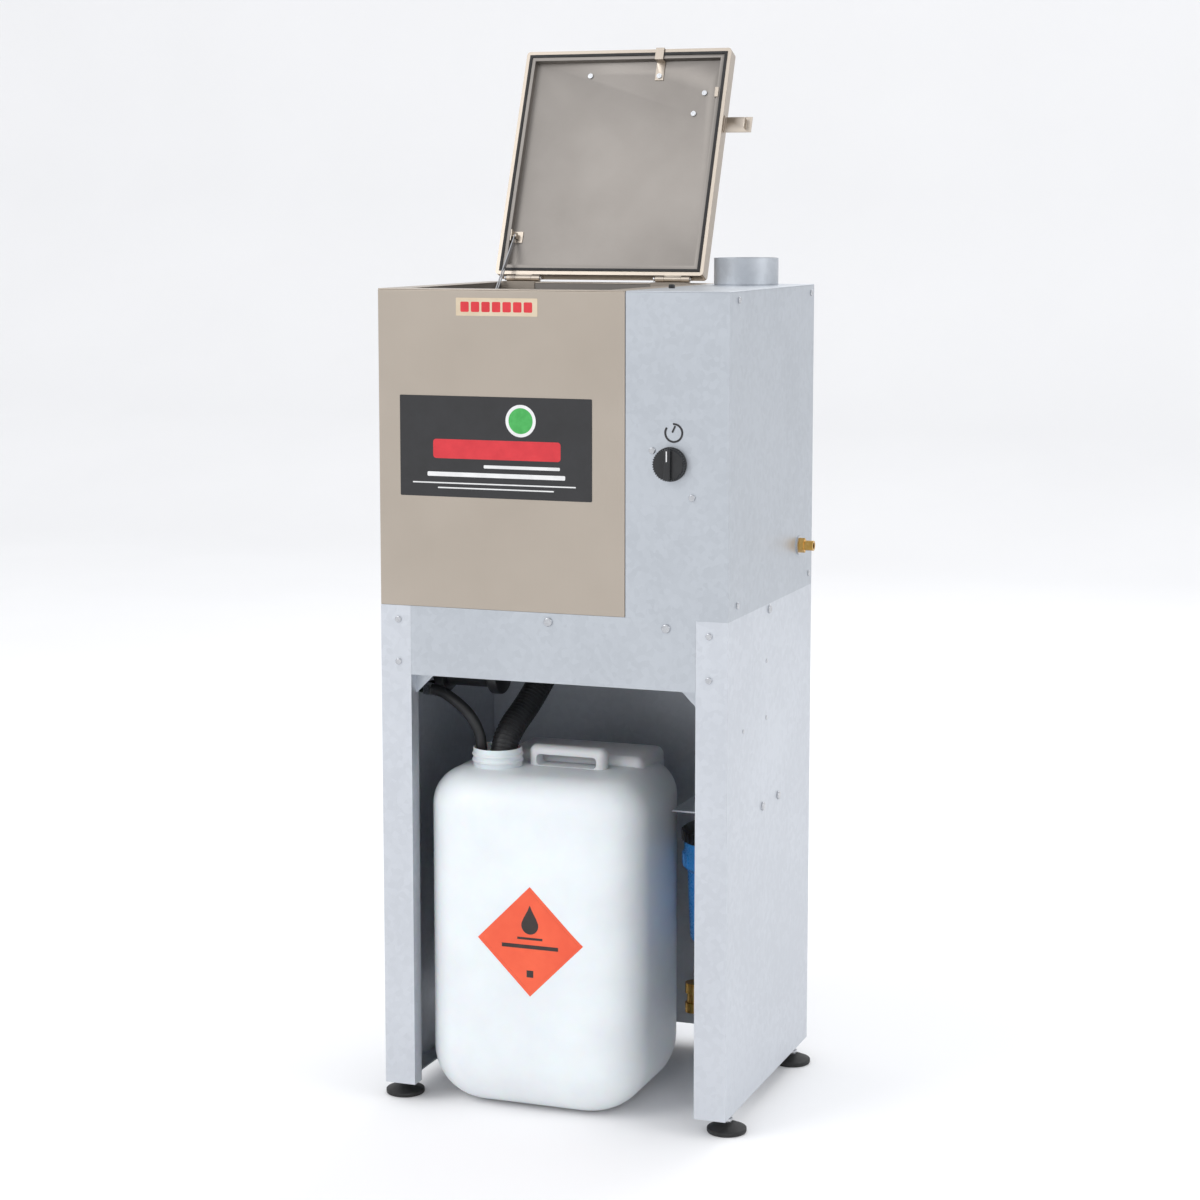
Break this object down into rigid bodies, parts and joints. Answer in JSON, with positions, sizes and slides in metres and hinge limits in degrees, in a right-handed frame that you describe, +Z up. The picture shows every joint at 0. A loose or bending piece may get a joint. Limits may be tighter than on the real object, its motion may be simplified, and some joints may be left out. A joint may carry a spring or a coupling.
{
  "type": "parts washer tank",
  "caption": "Stainless wash tank with a hinged lid and timer bay, on a sheet-metal stand sheltering a liquid drum, pump, hoses and filter.",
  "frame": {"origin": "on the floor, at the middle of the four levelling feet", "axes": "+Z up, +X to the right of a person facing the timer, +Y to the back"},
  "size_m": [0.496, 0.5053, 1.3653],
  "materials": {
    "galvanised_steel": "zinc-coated sheet, satin",
    "brushed_stainless": "brushed, satin",
    "zinc_fastener": "bright zinc",
    "black_rubber": "matt",
    "foot_rubber": "matt",
    "black_plastic": "moulded",
    "brass": "machined",
    "blue_plastic": "moulded, glossy",
    "filter_media": "spun",
    "drum_hdpe": "blow-moulded, waxy",
    "printed_label": "printed vinyl",
    "hazard_label": "printed vinyl"
  },
  "bodies": {
    "root": {"cabinet_back_panel": "galvanised_steel", "cabinet_base": "galvanised_steel", "cabinet_labels": "printed_label", "cabinet_screws": "zinc_fastener", "divider_panel": "galvanised_steel", "drain_hose": "black_rubber", "drain_spigot": "brushed_stainless", "exhaust_collar": "galvanised_steel", "filter_bracket": "galvanised_steel", "filter_cap": "black_plastic", "filter_cartridge": "filter_media", "filter_lines": "black_plastic", "foot_weld_nuts": "zinc_fastener", "hinge_leaves_lower": "brushed_stainless", "hinge_pins": "zinc_fastener", "hinge_screws": "zinc_fastener", "hose_clamps": "zinc_fastener", "inlet_fitting": "brass", "inlet_nut": "zinc_fastener", "interlock_valve": "black_plastic", "low_coupling": "black_plastic", "parts_rack": "brushed_stainless", "pump_body": "black_plastic", "pump_bracket": "galvanised_steel", "service_front_panel": "galvanised_steel", "service_lines": "black_plastic", "service_side_panel": "galvanised_steel", "service_top_panel": "galvanised_steel", "spray_bar": "brushed_stainless", "stand_back_panel": "galvanised_steel", "stand_bolts": "zinc_fastener", "stand_crossbar": "galvanised_steel", "stand_rivets": "zinc_fastener", "stand_screws": "zinc_fastener", "stand_side_left": "galvanised_steel", "stand_side_right": "galvanised_steel", "suction_hose": "black_rubber", "tank_deck": "brushed_stainless", "tank_front_panel": "brushed_stainless", "tank_side_panel": "brushed_stainless", "timer_body": "black_plastic", "wash_basin": "brushed_stainless"},
    "lid": {"lid_shell": "brushed_stainless", "lid_liner": "brushed_stainless", "lid_seal": "black_rubber", "lid_catches": "brushed_stainless", "lid_screws": "zinc_fastener", "interlock_tab": "brushed_stainless", "hinge_leaves_upper": "brushed_stainless", "stay_bracket": "brushed_stainless"},
    "stay": {"stay_strip": "brushed_stainless"},
    "knob": {"timer_knob": "black_plastic"},
    "button": {"interlock_button": "black_plastic"},
    "drum": {"drum": "drum_hdpe", "drum_label": "hazard_label"},
    "foot_front_left": {"foot_front_left": "foot_rubber"},
    "foot_front_right": {"foot_front_right": "foot_rubber"},
    "foot_back_left": {"foot_back_left": "foot_rubber"},
    "foot_back_right": {"foot_back_right": "foot_rubber"},
    "bowl": {"filter_bowl": "blue_plastic"}
  },
  "joints": [
    {"name": "lid_hinge", "type": "hinge", "parent": "root", "child": "lid", "pos_m": [0, 0.162, 1.053], "axis": [1, 0, 0], "range_deg": [0, 112]},
    {"name": "stay_pivot", "type": "hinge", "parent": "lid", "child": "stay", "pos_m": [-0.19525, 0.18801, 1.10936], "axis": [1, 0, 0], "range_deg": [-88, 0]},
    {"name": "timer_turn", "type": "hinge", "parent": "root", "child": "knob", "pos_m": [0.156, -0.185, 0.84], "axis": [0, 1, 0], "range_deg": [0, 300]},
    {"name": "button_press", "type": "slide", "parent": "root", "child": "button", "axis": [0, 0, -1], "range_m": [0, 0.003], "stiffness_N_per_m": 400},
    {"name": "drum_slide", "type": "slide", "parent": "root", "child": "drum", "axis": [0, -1, 0], "range_m": [0, 0.12], "deforming": ["drain_hose", "suction_hose"]},
    {"name": "foot_turn_front_left", "type": "hinge", "parent": "root", "child": "foot_front_left", "pos_m": [-0.22, -0.146, 0], "axis": [0, 0, 1], "continuous": true},
    {"name": "foot_turn_front_right", "type": "hinge", "parent": "root", "child": "foot_front_right", "pos_m": [0.22, -0.146, 0], "axis": [0, 0, 1], "continuous": true},
    {"name": "foot_turn_back_left", "type": "hinge", "parent": "root", "child": "foot_back_left", "pos_m": [-0.22, 0.146, 0], "axis": [0, 0, 1], "continuous": true},
    {"name": "foot_turn_back_right", "type": "hinge", "parent": "root", "child": "foot_back_right", "pos_m": [0.22, 0.146, 0], "axis": [0, 0, 1], "continuous": true},
    {"name": "bowl_turn", "type": "hinge", "parent": "root", "child": "bowl", "pos_m": [0.168, 0, 0.3], "axis": [0, 0, 1], "continuous": true}
  ],
  "couplings": [
    {"joint": "stay_pivot", "follows": "lid_hinge", "ratio": -0.776}
  ]
}
